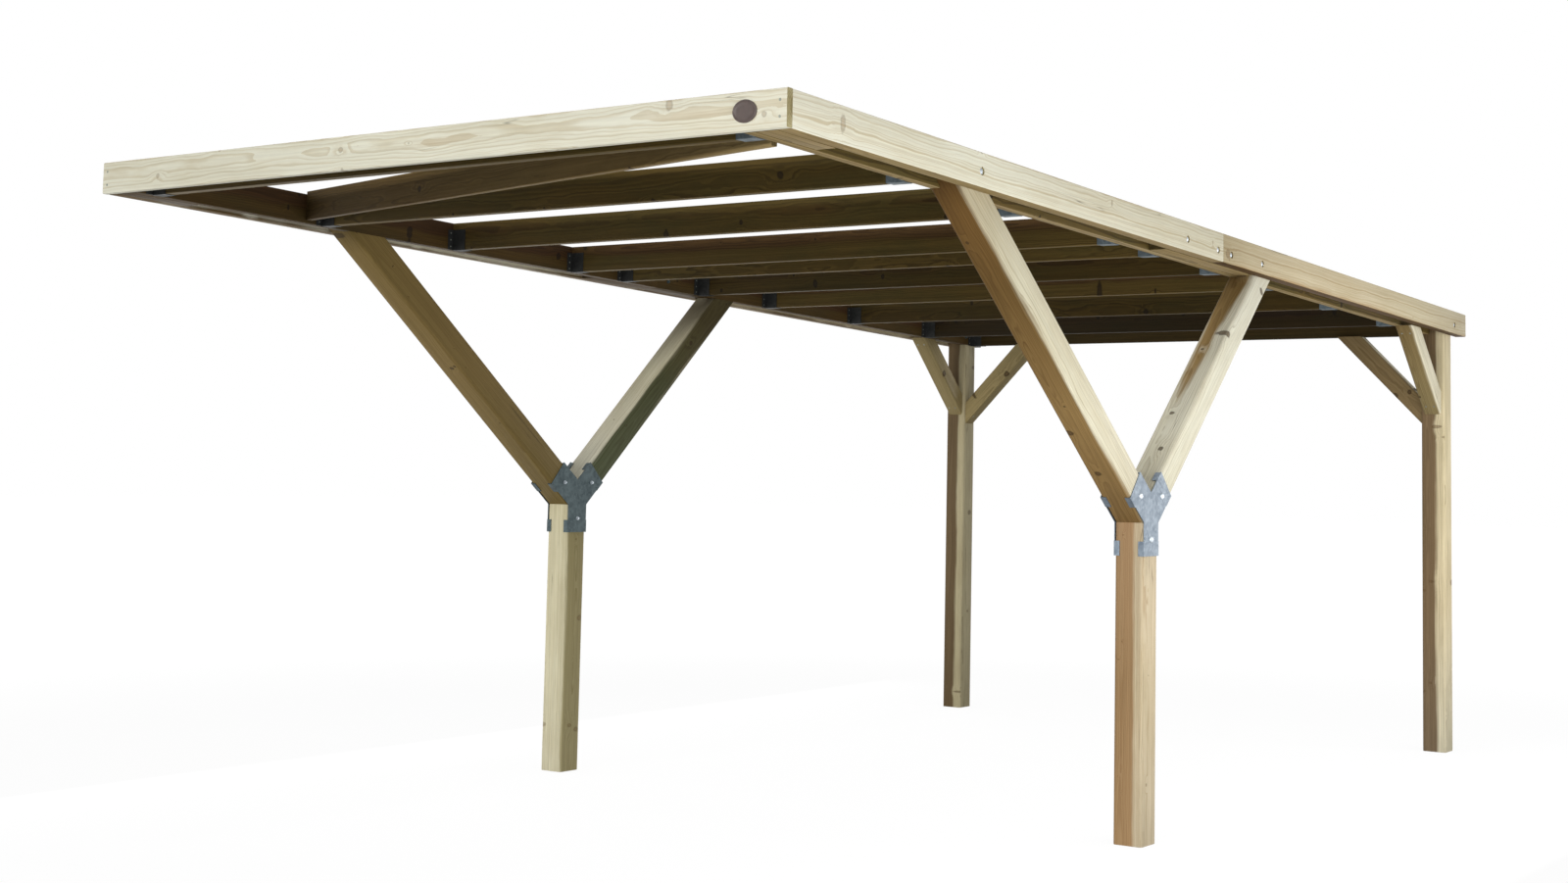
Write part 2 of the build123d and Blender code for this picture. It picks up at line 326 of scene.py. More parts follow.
    height = add(tree, "Math", {0: late, 1: 0.35, 2: fibre}, operation="MULTIPLY_ADD").outputs[0]
    height = add(tree, "Math", {0: height, 1: check}, operation="SUBTRACT").outputs[0]
    bump = add(tree, "Bump", {"Strength": 0.35, "Distance": 0.0008, "Height": height}).outputs[0]
    roughness = add(
        tree, "MapRange", {"Value": streak, 1: 0.3, 2: 0.7, 3: 0.78, 4: 0.64}
    ).outputs[0]
    surface = add(
        tree,
        "BsdfPrincipled",
        {
            "Base Color": colour,
            "Roughness": roughness,
            "Specular IOR Level": 0.12,
            "Normal": bump,
        },
    )
    add(tree, "OutputMaterial", {"Surface": surface.outputs[0]})
    return material


untinted = ("#ffffff", "#ffffff")


def pick(pieces):
    """Selects these pieces only, and makes the first of them the active one."""
    bpy.ops.object.select_all(action="DESELECT")
    for piece in pieces:
        piece.select_set(True)
    bpy.context.view_layer.objects.active = pieces[0]


def shade_along(shades, share):
    """The colour a share of the way along an even row of colours."""
    place = share * (len(shades) - 1)
    first = min(int(place), len(shades) - 2)
    return Vector(linear(shades[first])).lerp(Vector(linear(shades[first + 1])), place - first)


def planed_timber(
    node,
    ease,
    face,
    ends,
    heart,
    reach,
    tints=untinted,
    heart_tints=untinted,
    knot=None,
    knot_size=None,
    sinks=(),
    painted_underside=None,
):
    """A merged copy of a CAD timber with its long edges rounded, marked with its grain.

    heart is the way from the middle of the timber to the middle of the tree, and reach the
    radius of the brown heart at its two ends. tints darken the timber along its length and
    heart_tints only its heart, in even steps. knot is the middle of one knot that is given,
    and knot_size about its radius. sinks are cylinders that let bolt heads into the face.
    The material for the underside, where given, is a copy lit or shaded otherwise than the
    faces: painted light and shade. The tints and heart_tints carry painted shade as well as
    the wood's own tone. Each timber takes its grain from a stretch of the tree of its own.
    """
    global timber_count
    timber_count += 1
    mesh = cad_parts[node].data.copy()
    timber = bpy.data.objects.new(node + "_timber", mesh)
    bpy.context.scene.collection.objects.link(timber)
    pick([timber])
    bpy.ops.object.mode_set(mode="EDIT")
    bpy.ops.mesh.select_mode(type="EDGE")
    bpy.ops.mesh.customdata_custom_splitnormals_clear()
    bpy.ops.mesh.select_all(action="SELECT")
    bpy.ops.mesh.remove_doubles(threshold=same_point)
    bpy.ops.mesh.dissolve_limited(angle_limit=math.radians(1))
    bpy.ops.mesh.select_all(action="DESELECT")
    bpy.ops.object.mode_set(mode="OBJECT")

    # The longest edge gives the way along the timber, and the long edges give its middle
    corners = [vertex.co for vertex in mesh.vertices]
    edges = [(corners[edge.vertices[0]], corners[edge.vertices[1]]) for edge in mesh.edges]
    longest = max(edges, key=lambda edge: (edge[1] - edge[0]).length)
    length = (longest[1] - longest[0]).length
    along = (longest[1] - longest[0]).normalized()
    if max(along, key=abs) < 0:
        along = -along
    middles = []
    for edge, (start, end) in zip(mesh.edges, edges):
        edge.select = abs((end - start).normalized().dot(along)) > 0.9995
        if edge.select and (end - start).length > length / 2:
            middles.append((start + end) / 2)
    middle = sum(middles, Vector()) / len(middles)
    bpy.ops.object.mode_set(mode="EDIT")
    bpy.ops.mesh.bevel(offset=ease, segments=4, profile=0.5, clamp_overlap=True)
    bpy.ops.object.mode_set(mode="OBJECT")
    arris = timber.modifiers.new("arris", "BEVEL")
    arris.width = arris_ease
    arris.segments = 2
    arris.limit_method = "ANGLE"
    arris.angle_limit = math.radians(40)
    bpy.ops.object.modifier_apply(modifier="arris")
    for number, sink in enumerate(sinks):
        cut = timber.modifiers.new(f"sink_{number}", "BOOLEAN")
        cut.object = sink
        bpy.ops.object.modifier_apply(modifier=f"sink_{number}")
    for sink in sinks:
        bpy.data.objects.remove(sink)
    reaches = [vertex.co.dot(along) for vertex in mesh.vertices]
    start = min(reaches)
    length = max(reaches) - start
    steps = max(len(tints), len(heart_tints)) - 1
    bpy.ops.object.mode_set(mode="EDIT")
    for step in range(1, steps):
        bpy.ops.mesh.select_all(action="SELECT")
        bpy.ops.mesh.bisect(plane_co=along * (start + length * step / steps), plane_no=along)
    bpy.ops.object.mode_set(mode="OBJECT")

    to_heart = Vector(heart)
    to_heart -= along * to_heart.dot(along)
    out = -to_heart.normalized()
    sideways = along.cross(out)
    mesh.attributes.new("grain", "FLOAT_VECTOR", "POINT")
    mesh.attributes.new("knot", "FLOAT_VECTOR", "POINT")
    mesh.attributes.new("tint", "FLOAT_COLOR", "POINT")
    mesh.attributes.new("heartwood", "FLOAT_COLOR", "POINT")
    marks = mesh.attributes["grain"].data
    knots = mesh.attributes["knot"].data
    shades = mesh.attributes["tint"].data
    hearts = mesh.attributes["heartwood"].data
    for number, vertex in enumerate(mesh.vertices):
        place = vertex.co - middle - to_heart
        share = min(max((vertex.co.dot(along) - start) / length, 0), 1)
        marks[number].vector = (
            place.dot(along) + tree_stretch * timber_count,
            place.dot(out),
            place.dot(sideways),
        )
        if knot:
            to_knot = (vertex.co - Vector(knot)) / knot_size
            knots[number].vector = (to_knot.dot(along), to_knot.dot(out), to_knot.dot(sideways))
        else:
            knots[number].vector = far_from_knot
        shades[number].color = shade_along(tints, share)
        heart_reach = reach[0] + (reach[1] - reach[0]) * share
        hearts[number].color = (*shade_along(heart_tints, share)[:3], heart_reach)
    mesh.materials.clear()
    mesh.materials.append(face)
    mesh.materials.append(ends)
    # Faces that look down may take their own material: painted light and shade
    if painted_underside:
        mesh.materials.append(painted_underside)
    for polygon in mesh.polygons:
        polygon.material_index = int(abs(polygon.normal.dot(along)) > 0.5)
        if painted_underside and polygon.normal.z < -0.9:
            polygon.material_index = 2
    pick([timber])
    bpy.ops.object.shade_smooth_by_angle(angle=math.radians(30))
    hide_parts(node)
    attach(timber, "root")
    return timber


post_pine = treated_pine(
    "planed_treated_pine_posts",
    sap="#d8d0b4",
    heart="#bda07a",
    stain="#a5966c",
    knot_shade="#7d6240",
    ring=0.006,
    late_depth=0.35,
    streaks=0.12,
    stains=0.3,
    knots=0.5,
)
post_end_pine = treated_pine(
    "sawn_end_grain_posts",
    sap="#b3a581",
    heart="#8d7350",
    stain="#7f7252",
    knot_shade="#6b5436",
    ring=0.006,
    late_depth=0.5,
    streaks=0.14,
    stains=0.4,
    knots=0.6,
)
planed_timber(
        "front_right_post",
        post_ease,
        post_pine,
        post_end_pine,
        heart=(-0.03, -0.05, 0),
        reach=(0.064, 0.064),
        tints=("#f2eae6", "#e8e0da", "#dcd2cc"),
        heart_tints=("#f0f0e8", "#e0e0d8", "#fbffff"),
    )
left_post_pine = treated_pine(
    "planed_pine_left_post",
    sap="#dcd6ba",
    heart="#b3a881",
    stain="#a5966c",
    knot_shade="#7d6240",
    ring=0.006,
    late_depth=0.35,
    streaks=0.12,
    stains=0.3,
    knots=0.5,
)
# Heart turned to the inside face: partly heartwood, partly painted shade under the roof
planed_timber(
        "front_left_post",
        post_ease,
        left_post_pine,
        post_end_pine,
        heart=(0.085, 0.005, 0),
        reach=(0.07, 0.07),
        tints=("#ffffff", "#e8e6de"),
        heart_tints=("#f8f8f4", "#e4e4dc"),
    )

# Arms of the Y: two timbers of the post's section to each post, leaning fore and aft and
# let in between the beam boards. The same planed pine, mitred against each other, with a
# brown heart under the forward arms and on the inside of the left pair. On the left pair
# the heart is partly painted shade, and some arms darken towards the top: painted shade
# under the roof.
arm_pine = treated_pine(
    "planed_treated_pine_arms",
    sap="#dad8c6",
    heart="#957b4f",
    stain="#a5966c",
    knot_shade="#4e3c24",
    ring=0.006,
    late_depth=0.35,
    streaks=0.12,
    stains=0.3,
    knots=0.8,
)
post_low, post_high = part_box("front_right_post")
post_middle_y = (post_low.y + post_high.y) / 2
post_top = post_high.z
arms_meet = Vector(((post_low.x + post_high.x) / 2, post_middle_y, post_top))
arm_knot_size = 0.013
arms = (
    (
        "right_forward_arm",
        (-0.02, -0.057, -0.07),
        (0.085, 0.085),
        ("#e0d6c6", "#eeeae0", "#fbf8f2", "#ece6de"),
        # Heart darker towards the top: painted shade under the roof
        ("#d0c2b0", "#c4bcac", "#ffffff", "#ffffff"),
        arms_meet + Vector((-0.02, -0.29, 0.19)),
    ),
    (
        "right_backward_arm",
        (-0.02, -0.062, 0.066),
        (-0.02, 0.085),
        ("#f4f2ee", "#ffffff"),
        ("#ffffff", "#e8e8e0"),
        arms_meet + Vector((0.01, 0.197, 0.29)),
    ),
    (
        "left_forward_arm",
        (0.06, -0.02, -0.025),
        # A wide heart that browns the inside face: partly heartwood, partly painted shade
        (0.14, 0.14),
        ("#d6dacc", "#dadfd3"),
        ("#e8e8dc", "#ffffff", "#f0f4ec"),
        None,
    ),
    (
        "left_backward_arm",
        (0.115, 0, 0),
        (0.085, 0.085),
        # Darker towards the top, with a blue-grey heart inside: painted shade under the roof
        ("#f4f4f4", "#f4f2ec", "#e0dccf", "#9a9488", "#8a8478"),
        ("#a2d2f0", "#98c0d8", "#90b4c0", "#c8e0e0", "#c8e0e0"),
        None,
    ),
)
for node, heart, reach, tints, heart_tints, knot in arms:
    planed_timber(
            node,
            post_ease,
            arm_pine,
            post_end_pine,
            heart,
            reach,
            tints,
            heart_tints,
            knot,
            arm_knot_size,
        )

# Rear posts: one timber each from floor to roof frame, notched at the top for the inner
# beam board. Planed pine with a dark heart towards the front face, darker than heartwood
# alone: painted shade under the roof. The left one is darker all along, painted shade too.
rear_post_pine = treated_pine(
    "planed_pine_rear_posts",
    sap="#dcd4b8",
    # A heart darkened past heartwood: painted shade under the roof
    heart="#7c6a52",
    stain="#8c7c58",
    knot_shade="#6b5436",
    ring=0.006,
    late_depth=0.35,
    streaks=0.12,
    stains=0.3,
    knots=0.6,
)
for side, tints in (
    ("right", ("#ffffff", "#f4ecdf", "#f2ecdf", "#f6f0e4")),
    # Darker all along: painted shade
    ("left", ("#d2cebf", "#d0ccbf")),
):
    planed_timber(
            f"rear_{side}_post",
            post_ease,
            rear_post_pine,
            post_end_pine,
            heart=(-0.03, -0.05, 0),
            reach=(0.05, 0.058),
            tints=tints,
        )

# Knee braces: short lengths set at 45 degrees from each rear post, forwards under the
# beam and inwards under the rear rim. Planed pine with a brown heart, mitred at both ends
# and screwed. The brown, spread wide on the left knees and darkened on the right inward
# knee, is partly painted shade under the roof.
knee_pine = treated_pine(
    "planed_pine_knees",
    sap="#dcd6be",
    heart="#8f8059",
    stain="#a5966c",
    knot_shade="#46351e",
    ring=0.006,
    late_depth=0.35,
    streaks=0.12,
    stains=0.3,
    knots=0.85,
)
knee_ease = 0.011
knee_knot_size = 0.018
knees = (
    (
        "right_forward_knee",
        (-0.02, -0.05, -0.05),
        (0.07, 0.07),
        ("#ffffff", "#f0e4d8"),
        (0.0, -0.03, -0.03),
    ),
    (
        "right_inward_knee",
        (0, -0.08, 0),
        (0.09, 0.09),
        # Heart darkened: painted shade under the roof
        ("#d6cbc9", "#d6cbc9"),
        (0.09, -0.0475, -0.09),
    ),
    (
        "left_forward_knee",
        (0.05, -0.03, -0.03),
        (0.14, 0.14),
        untinted,
        (0.0475, 0.01, 0.02),
    ),
    (
        "left_inward_knee",
        (0.02, -0.08, -0.02),
        (0.16, 0.16),
        untinted,
        (0.05, -0.0475, 0.06),
    ),
)
for node, heart, reach, heart_tints, to_knot in knees:
    low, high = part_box(node)
    planed_timber(
            node,
            knee_ease,
            knee_pine,
            post_end_pine,
            heart,
            reach,
            untinted,
            heart_tints,
            (low + high) / 2 + Vector(to_knot),
            knee_knot_size,
        )

# Side beams: two boards on edge along each side, with packing at the front and a block at
# the splice between them. The outer front board is the palest. The inner boards are dark
# brown, painted shade under the roof, and the undersides on the right are in between,
# painted light and shade.
board_ease = 0.004
bolt_places = (1.122, 2.744, 3.037, 3.170, 3.495, 6.064)
bolt_rises = (0.055, 0.048, 0.044, 0.040, 0.044, 0.046)
sink_radius = 0.0145
sink_depth = 0.012
splice_knot_past = 0.045
splice_knot_height = 2.37
half_fascia = 0.014
fall_slope = math.tan(math.radians(2))
front_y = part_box("front_fascia")[0].y
front_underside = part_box("front_fascia")[0].z + fall_slope * half_fascia
outer_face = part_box("right_outer_beam_front")[1].x


def bolt_line(side):
    """Where the bolts through a side beam sit on its outer face."""
    return [
        Vector(
            (side * outer_face, front_y + place, front_underside - place * fall_slope + rise)
        )
        for place, rise in zip(bolt_places, bolt_rises)
    ]


def bolt_sink(centre):
    """A shallow round hole for a bolt head, across the face of a side beam."""
    bpy.ops.object.select_all(action="DESELECT")
    bpy.ops.mesh.primitive_cylinder_add(
        vertices=24,
        radius=sink_radius,
        depth=sink_depth,
        location=centre,
        rotation=(0, math.radians(90), 0),
    )
    return bpy.context.object


pale_pine = treated_pine(
    "planed_treated_pine_boards",
    sap="#e8e6d4",
    heart="#cbb692",
    stain="#d2c8a8",
    knot_shade="#a08768",
    ring=0.008,
    late_depth=0.42,
    streaks=0.07,
    stains=0.4,
    knots=0.45,
)
pale_end_pine = treated_pine(
    "sawn_end_grain_boards",
    sap="#b9ae84",
    heart="#988a5e",
    stain="#8a7f58",
    knot_shade="#6b5436",
    ring=0.007,
    late_depth=0.5,
    streaks=0.12,
    stains=0.4,
    knots=0.5,
)
# Dark olive-brown pine: painted shade for the parts under the roof and in the beam gap
brown_pine = treated_pine(
    "dark_pine_painted_shade",
    sap="#625027",
    heart="#523c20",
    stain="#484322",
    knot_shade="#261c10",
    ring=0.007,
    late_depth=0.4,
    streaks=0.14,
    stains=0.6,
    knots=0.85,
)
# Its end grain, in the same painted shade
brown_end_pine = treated_pine(
    "dark_end_grain_painted_shade",
    sap="#584a28",
    heart="#443520",
    stain="#3d3520",
    knot_shade="#2a2012",
    ring=0.006,
    late_depth=0.5,
    streaks=0.15,
    stains=0.5,
    knots=0.8,
)
# Mid-brown pine: painted light and shade for the undersides on the right and the brace
mid_brown_pine_painted_shade = treated_pine(
    "mid_brown_pine_painted_shade",
    sap="#a48e62",
    heart="#6a5538",
    stain="#7c6c42",
    knot_shade="#3a2c18",
    ring=0.007,
    late_depth=0.35,
    streaks=0.14,
    stains=0.5,
    knots=0.8,
)
splice_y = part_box("right_outer_beam_front")[1].y
# On the left, the outer boards' heart and the inner boards are darker still: painted shade
for side, way, heart_tints, inner_painted_shade in (
    ("right", 1, untinted, untinted),
    ("left", -1, ("#7c7054", "#7c7054"), ("#c8bcb4", "#c8bcb4")),
):
    bolts = bolt_line(way)
    heart_below = side == "left"
    painted_underside = mid_brown_pine_painted_shade if side == "right" else None
    # The outer boards darken towards the rear, and the rear ones at the splice and end: painted
    # shade
    planed_timber(
            f"{side}_outer_beam_front",
            board_ease,
            pale_pine,
            pale_end_pine,
            heart=(0.01, 0, -0.1) if heart_below else (-0.012, 0, 0.085),
            reach=(0.056, 0.056) if heart_below else (0.046, 0.05),
            tints=("#ffffff", "#fcfcfa", "#ebe8e2", "#dfdcd4"),
            heart_tints=heart_tints,
            sinks=[bolt_sink(bolt) for bolt in bolts if bolt.y < splice_y],
            painted_underside=painted_underside,
        )
    planed_timber(
            f"{side}_outer_beam_rear",
            board_ease,
            pale_pine,
            pale_end_pine,
            heart=(0.01, 0, -0.1) if heart_below else (-0.012, 0, -0.085),
            reach=(0.056, 0.054),
            tints=("#c0b4a0", "#dcd0be", "#dcd0be", "#d8cebc", "#c8beac"),
            heart_tints=heart_tints,
            knot=(way * outer_face, splice_y + splice_knot_past, splice_knot_height),
            knot_size=0.02,
            sinks=[bolt_sink(bolt) for bolt in bolts if bolt.y > splice_y],
            painted_underside=painted_underside,
        )
    for board in ("inner_beam_front", "inner_beam_rear", "front_packing", "splice_block"):
        planed_timber(
                f"{side}_{board}",
                board_ease,
                brown_pine,
                brown_end_pine,
                heart=(-0.05 * way, 0, 0.03),
                reach=(0.05, 0.05),
                tints=inner_painted_shade,
                painted_underside=painted_underside,
            )

# Joists and rear rim: boards on edge across the roof, each end in a hanger on the inner
# beam board. Planed pine in a dark olive brown, painted shade under the roof, with dark
# knots. Some of those towards the back are darker still: more painted shade.
# Darker joists towards the back: painted shade
joist_painted_shade = {5: "#c4c0b0", 6: "#ffffff", 7: "#bcb8a8", 8: "#767060", 9: "#a09c8e"}
joist_hearts = ((-0.05, 0.04), (0.06, -0.03), (-0.07, 0.02))
joists = ["front_joist", *(f"joist_{number}" for number in range(1, 9)), "rear_rim"]
for number, joist in enumerate(joists):
    tint = joist_painted_shade.get(number, "#ffffff")
    planed_timber(
            joist,
            board_ease,
            brown_pine,
            brown_end_pine,
            heart=(0, *joist_hearts[number % 3]),
            reach=(0.05, 0.05),
            tints=(tint, tint),
        )

# Diagonal brace: one thin board on edge across the first bay, cut along the beams at both
# ends. Mid-brown pine in painted shade under the roof, paler towards its right end.
brace_ease = 0.003
planed_timber(
        "diagonal_brace",
        brace_ease,
        mid_brown_pine_painted_shade,
        brown_end_pine,
        heart=(0, 0.06, -0.03),
        reach=(0.05, 0.05),
        tints=("#756c5a", "#a89e88", "#ccc4ac", "#c4bca4", "#ffffff"),
    )

# Fascia: the board across the front that covers the ends of the side beams. The palest
# planed pine, with one knot near the right end.
fascia_low, fascia_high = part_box("front_fascia")
fascia_knot_inset = 0.085
fascia_knot_rise = 0.045
planed_timber(
        "front_fascia",
        board_ease,
        pale_pine,
        pale_end_pine,
        heart=(0, 0.032, 0.012),
        reach=(0.043, 0.041),
        tints=("#f4f4f2", "#fcfcfa", "#f8f8f8"),
        knot=(
            fascia_high.x - fascia_knot_inset,
            fascia_low.y,
            fascia_low.z + fascia_knot_rise,
        ),
        knot_size=0.009,
    )

# Y plates and joist hangers: steel sheet, cut, bent and hot-dip galvanised, each plate with
# tabs bent over the tops of the arms. Zinc spangle about 12 mm across shows as flat patches
# of slightly different grey. The left plates and hangers take darker copies of the zinc:
# painted shade.


def galvanised(name, light, dark, roughness):
    """Hot-dip galvanised steel sheet with its spangle and a dull bloom."""
    material, tree = new_material(name)
    place = add(tree, "TexCoord").outputs["Object"]
    spangle = add(tree, "TexVoronoi", {"Vector": place, "Scale": 80}).outputs["Color"]
    spangle_value = add(tree, "SeparateColor", {0: spangle}).outputs[0]
    bloom = add(tree, "TexNoise", {"Vector": place, "Scale": 22, "Detail": 5}).outputs[0]
    mixed = add(
        tree, "Math", {0: spangle_value, 1: 0.45, 2: bloom}, operation="MULTIPLY_ADD"
    ).outputs[0]
    share = add(tree, "MapRange", {"Value": mixed, 1: 0.35, 2: 1.05, 3: 0, 4: 1}).outputs[0]
    colour = add(
        tree, "Mix", {0: share, 6: linear(dark), 7: linear(light)}, data_type="RGBA"
    ).outputs[2]
    rough = add(
        tree, "MapRange", {"Value": share, 3: roughness + 0.1, 4: roughness - 0.08}
    ).outputs[0]
    bump = add(tree, "Bump", {"Strength": 0.15, "Distance": 0.0004, "Height": bloom}).outputs[0]
    surface = add(
        tree,
        "BsdfPrincipled",
        {"Base Color": colour, "Metallic": 0.75, "Roughness": rough, "Normal": bump},
    )
    add(tree, "OutputMaterial", {"Surface": surface.outputs[0]})
    return material


plate_zinc = galvanised("galvanised_plate", "#6f7982", "#5d6771", 0.5)
# Darker copies of the same zinc: painted shade for the left side and under the roof
zinc_in_painted_shade = galvanised("galvanised_plate_in_painted_shade", "#455153", "#364144", 0.55)
hanger_zinc = galvanised("galvanised_hanger", "#5d676c", "#4a5357", 0.6)
hanger_zinc_in_painted_shade = galvanised("galvanised_hanger_in_painted_shade", "#2e2f2e", "#222322", 0.7)
tab_length = 0.046
tab_width = 0.025
tab_sheet = 0.003
tab_fold_ease = 0.0028
tab_corner_ease = 0.006
tab_along = 0.128
tab_lift = 0.0035
arm_slopes = ((1, 43.44), (-1, 39.43))


def arm_tab(plate_x, inwards, middle_y, middle_z, tilt):
    """A tab of sheet over the top of an arm, rounded at its fold and at its free corners.

    plate_x is the outside of the plate, and inwards the way from there over the arm.
    """
    bpy.ops.object.select_all(action="DESELECT")
    bpy.ops.mesh.primitive_cube_add(size=1, scale=(tab_width, tab_length, tab_sheet))
    tab = bpy.context.object
    bpy.ops.object.transform_apply(location=True, rotation=True, scale=True)
    for free_side, offset in ((-1, tab_fold_ease), (1, tab_corner_ease)):
        bpy.ops.object.mode_set(mode="EDIT")
        bpy.ops.mesh.select_mode(type="EDGE")
        bpy.ops.mesh.select_all(action="DESELECT")
        bpy.ops.object.mode_set(mode="OBJECT")
        way = inwards * free_side
        # A side edge is half a width out from the middle, and a top one half a sheet up
        for edge in tab.data.edges:
            start, end = (tab.data.vertices[number].co for number in edge.vertices)
            at_side = min(start.x * way, end.x * way) > tab_width * 0.49
            upright = abs(end.z - start.z) > tab_sheet * 0.9
            on_top = min(start.z, end.z) > tab_sheet * 0.4
            edge.select = at_side and (upright if free_side > 0 else on_top)
        bpy.ops.object.mode_set(mode="EDIT")
        bpy.ops.mesh.bevel(offset=offset, segments=4)
        bpy.ops.object.mode_set(mode="OBJECT")
    middle = Matrix.Translation((plate_x + inwards * tab_width / 2, middle_y, middle_z))
    tab.data.transform(middle @ Matrix.Rotation(math.radians(tilt), 4, "X"))
    return tab


# From the edge of the post's top, a tab is so far up along the arm and then square across
# it. An arm goes up to the back or to the front, at its slope in degrees from the level
post_half = (post_high.y - post_low.y) / 2
tab_across = 2 * post_half + tab_lift
tab_places = []
for toward, slope in arm_slopes:
    rise = math.sin(math.radians(slope))
    run = math.cos(math.radians(slope))
    out = post_half + tab_along * run - tab_across * rise
    tab_places.append((toward * out, tab_along * rise + tab_across * run, toward * slope))
for side, way, plate_steel, hanger_steel in (
    ("right", 1, plate_zinc, hanger_zinc),
    ("left", -1, zinc_in_painted_shade, hanger_zinc_in_painted_shade),
):
    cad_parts[f"{side}_y_plates"].data.materials.clear()
    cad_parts[f"{side}_y_plates"].data.materials.append(plate_steel)
    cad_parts[f"{side}_joist_hangers"].data.materials.clear()
    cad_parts[f"{side}_joist_hangers"].data.materials.append(hanger_steel)
    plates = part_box(f"{side}_y_plates")
    tabs = [
        arm_tab(plates[corner].x, 1 - 2 * corner, post_middle_y + out, post_top + up, tilt)
        for corner in (0, 1)
        for out, up, tilt in tab_places
    ]
    pick(tabs)
    bpy.ops.object.join()
    tabs[0].name = f"{side}_plate_tabs"
    bpy.ops.object.shade_smooth_by_angle(angle=math.radians(30))
    tabs[0].data.materials.append(plate_steel)
    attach(tabs[0], "root")

# Bolts: round-headed coach bolts through the beams and the Y plates, drawn into the wood
# of the beams, with washers and nuts inside. Zinc-plated steel, bright but for the nuts on
# the beams under the roof, which take the same darker zinc as the left plates: painted shade.
bright_zinc = galvanised("zinc_plated_bolt", "#c2c8cd", "#98a1a8", 0.42)
bolt_set_in = 0.0058
washer_radius = 0.0082
washer_sheet = 0.0016
nut_radius = 0.0075
nut_height = 0.0065
thread_radius = 0.004
thread_length = 0.005
thread_middle = 0.0105
nut_ease = 0.0006


def dome_head(radius, rise):
    """A domed bolt head that looks along +X, its back at the origin."""
    bpy.ops.object.select_all(action="DESELECT")
    bpy.ops.mesh.primitive_uv_sphere_add(segments=16, ring_count=8, radius=radius)
    head = bpy.context.object
    bpy.ops.object.mode_set(mode="EDIT")
    bpy.ops.mesh.select_all(action="SELECT")
    bpy.ops.mesh.bisect(plane_co=(0, 0, 0), plane_no=(0, 0, 1), clear_inner=True, use_fill=True)
    bpy.ops.mesh.select_all(action="SELECT")
    bpy.ops.transform.resize(value=(1, 1, rise / radius))
    bpy.ops.object.mode_set(mode="OBJECT")
    back = min(vertex.co.z for vertex in head.data.vertices)
    head.data.transform(Matrix.Translation((0, 0, -back)))
    head.data.transform(Matrix.Rotation(math.radians(90), 4, "Y"))
    bpy.ops.object.shade_smooth_by_angle(angle=math.radians(40))
    return head


def nut_end():
    """A washer, a hexagon nut and the end of its bolt, looking along +X."""
    parts = []
    for sides, radius, depth, middle in (
        (20, washer_radius, washer_sheet, washer_sheet / 2),
        (6, nut_radius, nut_height, washer_sheet + nut_height / 2),
        (12, thread_radius, thread_length, thread_middle),
    ):
        bpy.ops.object.select_all(action="DESELECT")
        bpy.ops.mesh.primitive_cylinder_add(
            vertices=sides, radius=radius, depth=depth, location=(0, 0, middle)
        )
        parts.append(bpy.context.object)
    washer, nut, thread = parts
    pick([nut, washer, thread])
    bpy.ops.object.join()
    bpy.ops.object.transform_apply(location=True, rotation=True, scale=True)
    edge = nut.modifiers.new("edge", "BEVEL")
    edge.width = nut_ease
    edge.segments = 1
    edge.limit_method = "ANGLE"
    bpy.ops.object.modifier_apply(modifier="edge")
    nut.data.transform(Matrix.Rotation(math.radians(90), 4, "Y"))
    return nut


def set_out(pattern, name, places, metal):
    """Copies a small fixing to each place, turned to look along its direction, as one piece."""
    copies = []
    for place, direction in places:
        fixing = bpy.data.objects.new(name, pattern.data.copy())
        bpy.context.scene.collection.objects.link(fixing)
        turn = Vector((1, 0, 0)).rotation_difference(Vector(direction)).to_matrix().to_4x4()
        fixing.data.transform(Matrix.Translation(Vector(place)) @ turn)
        copies.append(fixing)
    pick(copies)
    bpy.ops.object.join()
    piece = copies[0]
    piece.name = name
    piece.data.materials.clear()
    piece.data.materials.append(metal)
    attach(piece, "root")
    return piece


bolt_head = dome_head(radius=0.0115, rise=0.005)
plate_head = dome_head(radius=0.0135, rise=0.0065)
nut_pattern = nut_end()
plate_bolts = ((-0.094, 0.104), (0.094, 0.104), (0, -0.066))
for side, way in (("right", 1), ("left", -1)):
    inner = 0 if way > 0 else 1
    inner_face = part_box(f"{side}_inner_beam_front")[inner].x
    outer_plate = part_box(f"{side}_y_plates")[1 - inner].x
    inner_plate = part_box(f"{side}_y_plates")[inner].x
    line = bolt_line(way)
    set_out(
        bolt_head,
        f"{side}_beam_bolts",
        [(bolt - Vector((way * bolt_set_in, 0, 0)), (way, 0, 0)) for bolt in line],
        bright_zinc,
    )
    set_out(
        nut_pattern,
        f"{side}_beam_nuts",
        [((inner_face, bolt.y, bolt.z), (-way, 0, 0)) for bolt in line],
        zinc_in_painted_shade,
    )
    set_out(
        plate_head,
        f"{side}_plate_bolts",
        [((outer_plate, post_middle_y + y, post_top + z), (way, 0, 0)) for y, z in plate_bolts],
        bright_zinc,
    )
    set_out(
        nut_pattern,
        f"{side}_plate_nuts",
        [((inner_plate, post_middle_y + y, post_top + z), (-way, 0, 0)) for y, z in plate_bolts],
        bright_zinc,
    )
for pattern in (bolt_head, plate_head, nut_pattern):
    bpy.data.objects.remove(pattern)

